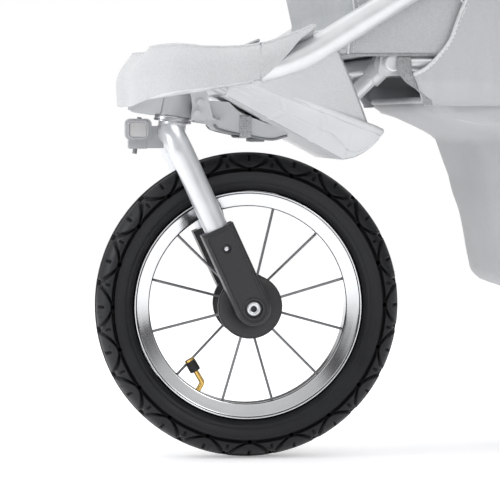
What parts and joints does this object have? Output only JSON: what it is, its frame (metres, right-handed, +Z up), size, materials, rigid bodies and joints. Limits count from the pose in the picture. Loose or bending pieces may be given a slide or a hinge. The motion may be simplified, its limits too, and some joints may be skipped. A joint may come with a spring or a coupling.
{
  "type": "jogging stroller",
  "caption": "Three-wheel jogging stroller with a swivelling front wheel that locks, folding frame, reclining seat, hood, harness, basket, foot brake and tilting handlebar.",
  "frame": {"origin": "centre of the footprint box on the floor, below the middle of the length", "axes": "+X towards the rear (the direction the pusher stands), +Y to the stroller right-hand side seen from its far side, +Z up; the front wheel is at -X"},
  "size_m": [1.0426, 0.646, 1.0258],
  "materials": {
    "frame_silver": "satin anodised tube, nearly white",
    "fork_silver": "satin anodised tube",
    "steel": "zinc plated steel",
    "chrome": "bright rim",
    "spoke_steel": "dark steel",
    "brass": "bare brass",
    "tyre": "moulded rubber",
    "black_plastic": "black moulded plastic",
    "grey_plastic": "pale grey moulded plastic",
    "block_plastic": "grey plastic with a glossy panel",
    "pan_plastic": "pale grey ribbed plastic",
    "toe_fabric": "pale grey melange weave",
    "seat_fabric": "light grey melange weave",
    "basket_fabric": "light grey nylon",
    "canopy_fabric": "light grey melange weave",
    "webbing": "dark grey webbing",
    "foam": "foam sleeve",
    "button_red": "red button"
  },
  "bodies": {
    "frame": {"front_bow": "frame_silver", "side_tubes": "frame_silver", "frame_joints": "grey_plastic", "frame_bolts": "steel", "seat_rails": "frame_silver", "seat_crossbars": "frame_silver", "footrest_struts": "frame_silver", "swivel_housing": "grey_plastic", "belly_shell": "grey_plastic", "nose_brackets": "grey_plastic", "footrest_pan": "pan_plastic", "toe_guard": "toe_fabric", "footwell_fabric": "toe_fabric", "seat_side_panels": "seat_fabric", "seat_board": "grey_plastic", "seat_cushion": "seat_fabric", "harness_straps": "webbing", "harness_buckle": "black_plastic", "storage_basket": "basket_fabric", "canopy_bay_rear": "canopy_fabric", "canopy_rib_rear": "steel"},
    "fork": {"fork_tube": "fork_silver", "swivel_post": "steel", "fork_sleeves": "black_plastic", "fork_fasteners": "steel", "lock_block": "block_plastic"},
    "front_wheel": {"front_tyre": "tyre", "front_rim": "chrome", "front_spokes": "spoke_steel", "front_hub": "black_plastic", "front_valve": "brass"},
    "lock_pin": {"swivel_lock_pin": "black_plastic"},
    "rear_legs": {"leg_castings": "grey_plastic", "rear_legs": "frame_silver", "rear_axle": "steel"},
    "rear_wheel_left": {"rear_tyre_left": "tyre", "rear_rim_left": "chrome", "rear_hub_left": "black_plastic"},
    "rear_wheel_right": {"rear_tyre_right": "tyre", "rear_rim_right": "chrome", "rear_hub_right": "black_plastic"},
    "wheel_release_left": {"wheel_release_left": "button_red"},
    "wheel_release_right": {"wheel_release_right": "button_red"},
    "brake_pedal": {"brake_pedal": "black_plastic"},
    "brake_pin_left": {"brake_pin_left": "steel"},
    "brake_pin_right": {"brake_pin_right": "steel"},
    "handle": {"handle_castings": "grey_plastic", "handle_tubes": "frame_silver"},
    "handlebar": {"handlebar_castings": "grey_plastic", "handlebar_tube": "frame_silver", "handlebar_grip": "foam"},
    "backrest": {"backrest_frame": "steel", "backrest_pad": "seat_fabric", "shoulder_straps": "webbing"},
    "canopy_middle": {"canopy_bay_middle": "canopy_fabric", "canopy_rib_middle": "steel"},
    "canopy_front": {"canopy_bay_front": "canopy_fabric", "canopy_rib_front": "steel"},
    "buckle_button": {"buckle_button": "button_red"}
  },
  "joints": [
    {"name": "front_swivel", "type": "hinge", "parent": "frame", "child": "fork", "pos_m": [-0.44325, 0, 0.336], "axis": [0.1392, 0, 0.9903], "continuous": true},
    {"name": "front_wheel_spin", "type": "hinge", "parent": "fork", "child": "front_wheel", "pos_m": [-0.36875, 0, 0.1525], "axis": [0, 1, 0], "continuous": true},
    {"name": "swivel_lock", "type": "slide", "parent": "fork", "child": "lock_pin", "axis": [0.1392, 0, 0.9903], "range_m": [0, 0.0075]},
    {"name": "handle_fold", "type": "hinge", "parent": "frame", "child": "handle", "pos_m": [0.06125, 0, 0.645], "axis": [0, -1, 0], "range_deg": [0, 148]},
    {"name": "rear_leg_fold", "type": "hinge", "parent": "frame", "child": "rear_legs", "pos_m": [0.06125, 0, 0.645], "axis": [0, 1, 0], "range_deg": [0, 38]},
    {"name": "rear_wheel_left_spin", "type": "hinge", "parent": "rear_legs", "child": "rear_wheel_left", "pos_m": [0.32125, 0, 0.2], "axis": [0, 1, 0], "continuous": true},
    {"name": "rear_wheel_right_spin", "type": "hinge", "parent": "rear_legs", "child": "rear_wheel_right", "pos_m": [0.32125, 0, 0.2], "axis": [0, 1, 0], "continuous": true},
    {"name": "wheel_release_left_press", "type": "slide", "parent": "rear_wheel_left", "child": "wheel_release_left", "axis": [0, 1, 0], "range_m": [0, 0.003], "stiffness_N_per_m": 500},
    {"name": "wheel_release_right_press", "type": "slide", "parent": "rear_wheel_right", "child": "wheel_release_right", "axis": [0, -1, 0], "range_m": [0, 0.003], "stiffness_N_per_m": 500},
    {"name": "brake_pedal_press", "type": "hinge", "parent": "rear_legs", "child": "brake_pedal", "pos_m": [0.32125, 0, 0.2], "axis": [0, 1, 0], "range_deg": [0, 20]},
    {"name": "brake_pin_left_slide", "type": "slide", "parent": "rear_legs", "child": "brake_pin_left", "axis": [0, -1, 0], "range_m": [0, 0.01]},
    {"name": "brake_pin_right_slide", "type": "slide", "parent": "rear_legs", "child": "brake_pin_right", "axis": [0, 1, 0], "range_m": [0, 0.01]},
    {"name": "handlebar_tilt", "type": "hinge", "parent": "handle", "child": "handlebar", "pos_m": [0.38577, 0, 0.9271], "axis": [0, -1, 0], "range_deg": [-35, 30]},
    {"name": "backrest_recline", "type": "hinge", "parent": "frame", "child": "backrest", "pos_m": [0.09325, 0, 0.428], "axis": [0, -1, 0], "range_deg": [-35, 0]},
    {"name": "canopy_front_turn", "type": "hinge", "parent": "canopy_middle", "child": "canopy_front", "pos_m": [0.15125, 0, 0.76], "axis": [0, 1, 0], "range_deg": [0, 38]},
    {"name": "canopy_middle_turn", "type": "hinge", "parent": "frame", "child": "canopy_middle", "pos_m": [0.15125, 0, 0.76], "axis": [0, 1, 0], "range_deg": [0, 30]},
    {"name": "buckle_button_press", "type": "slide", "parent": "frame", "child": "buckle_button", "axis": [1, 0, 0], "range_m": [0, 0.0024], "stiffness_N_per_m": 400}
  ],
  "couplings": [
    {"joint": "rear_leg_fold", "follows": "handle_fold", "ratio": 0.25676},
    {"joint": "brake_pin_left_slide", "follows": "brake_pedal_press", "m_per_rad": 0.028645},
    {"joint": "brake_pin_right_slide", "follows": "brake_pedal_press", "m_per_rad": 0.028645},
    {"joint": "canopy_middle_turn", "follows": "canopy_front_turn", "ratio": 0.78947}
  ]
}
